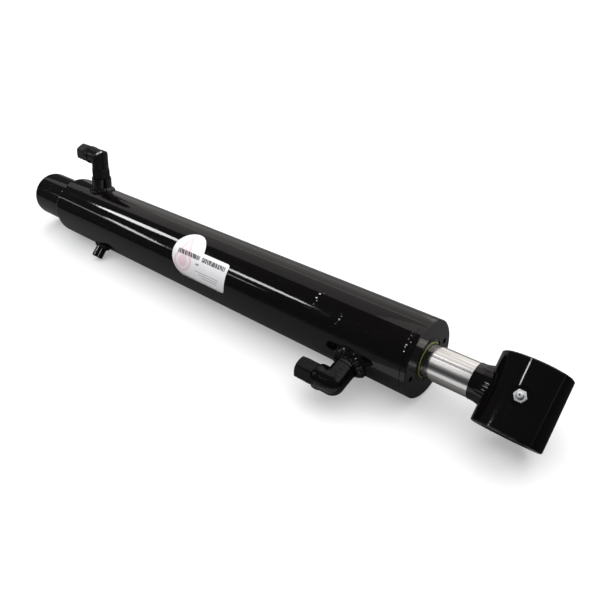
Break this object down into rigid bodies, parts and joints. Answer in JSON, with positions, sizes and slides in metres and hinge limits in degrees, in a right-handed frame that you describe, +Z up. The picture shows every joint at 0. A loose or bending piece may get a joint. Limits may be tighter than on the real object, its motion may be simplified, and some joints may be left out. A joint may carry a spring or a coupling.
{
  "type": "hydraulic cylinder",
  "caption": "Welded double-acting hydraulic cylinder with a chromed rod, a bushed rod eye, capped elbow fittings and a tapped base stub.",
  "frame": {"origin": "middle of the base stub's flat end face, at the mouth of its tapped hole", "axes": "+X along the cylinder towards the rod eye, +Z up as the cylinder lies on its side, with the base port near the top"},
  "size_m": [0.8819, 0.1378, 0.1534],
  "materials": {
    "gloss_black": "gloss enamel over welded steel",
    "fitting_black": "satin enamel over forged steel fittings",
    "hard_chrome": "hard chrome, ground and polished",
    "plain_steel": "machined steel",
    "zinc_plate": "bright zinc plate",
    "ductile_iron": "turned ductile iron",
    "label_vinyl": "white vinyl label with pale pink and gray printing",
    "seal_rubber": "nitrile rubber",
    "seal_urethane": "moulded polyurethane",
    "wiper_urethane": "yellow-green moulded polyurethane",
    "bearing_resin": "filled bearing resin"
  },
  "bodies": {
    "barrel": {"barrel_tube": "gloss_black", "base_cap": "gloss_black", "base_stub": "gloss_black", "base_stub_weld": "gloss_black", "line_stud": "gloss_black", "line_stud_weld": "gloss_black", "label": "label_vinyl", "base_port_boss": "gloss_black", "base_port_weld": "gloss_black", "base_port_locknut": "fitting_black", "base_port_o_ring": "seal_rubber", "base_port_elbow": "fitting_black", "base_port_cap": "fitting_black", "rod_port_boss": "gloss_black", "rod_port_weld": "gloss_black", "rod_port_elbow": "fitting_black", "rod_port_cap": "fitting_black", "gland": "gloss_black", "gland_o_ring": "seal_rubber", "gland_backup_ring": "bearing_resin", "rod_wear_band": "bearing_resin", "rod_seal": "seal_urethane", "wiper_seal": "wiper_urethane"},
    "piston_rings": {"piston_seal": "seal_urethane", "piston_wear_bands": "bearing_resin"},
    "rod": {"rod": "hard_chrome", "piston": "ductile_iron", "piston_o_ring": "seal_rubber", "piston_nut": "plain_steel", "rod_eye_tube": "gloss_black", "rod_eye_weld": "gloss_black", "rod_eye_bushing": "plain_steel", "grease_fitting": "zinc_plate"}
  },
  "joints": [
    {"name": "rod_slide", "type": "slide", "parent": "barrel", "child": "piston_rings", "axis": [1, 0, 0], "range_m": [0, 0.4572]},
    {"name": "rod_spin", "type": "hinge", "parent": "piston_rings", "child": "rod", "pos_m": [0.847, 0, 0], "axis": [1, 0, 0], "continuous": true}
  ]
}
